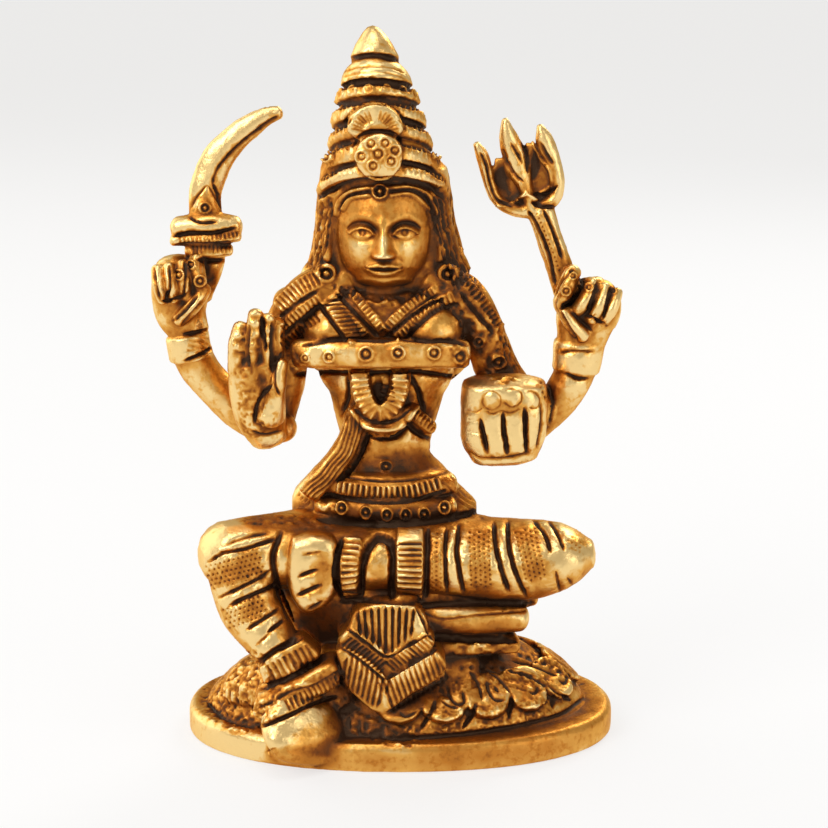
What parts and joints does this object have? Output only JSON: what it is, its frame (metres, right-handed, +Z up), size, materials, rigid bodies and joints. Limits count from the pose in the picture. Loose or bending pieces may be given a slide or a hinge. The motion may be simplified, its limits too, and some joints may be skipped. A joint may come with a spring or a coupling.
{
  "type": "hindu goddess idol",
  "caption": "Cast-brass seated goddess figure with raised arms holding a sword, a trident and a bowl, on an oval lotus plinth; stands on a table or shelf.",
  "frame": {"origin": "centre of the oval plinth's underside", "axes": "+X to the viewer's right, the figure faces -Y, +Z up from the surface that the plinth stands on"},
  "size_m": [0.0696, 0.0448, 0.1067],
  "materials": {
    "brass": "antique cast brass, polished yellow-gold on the high points and dark brown in the recesses"
  },
  "bodies": {
    "root": {"idol": "brass"}
  },
  "joints": []
}
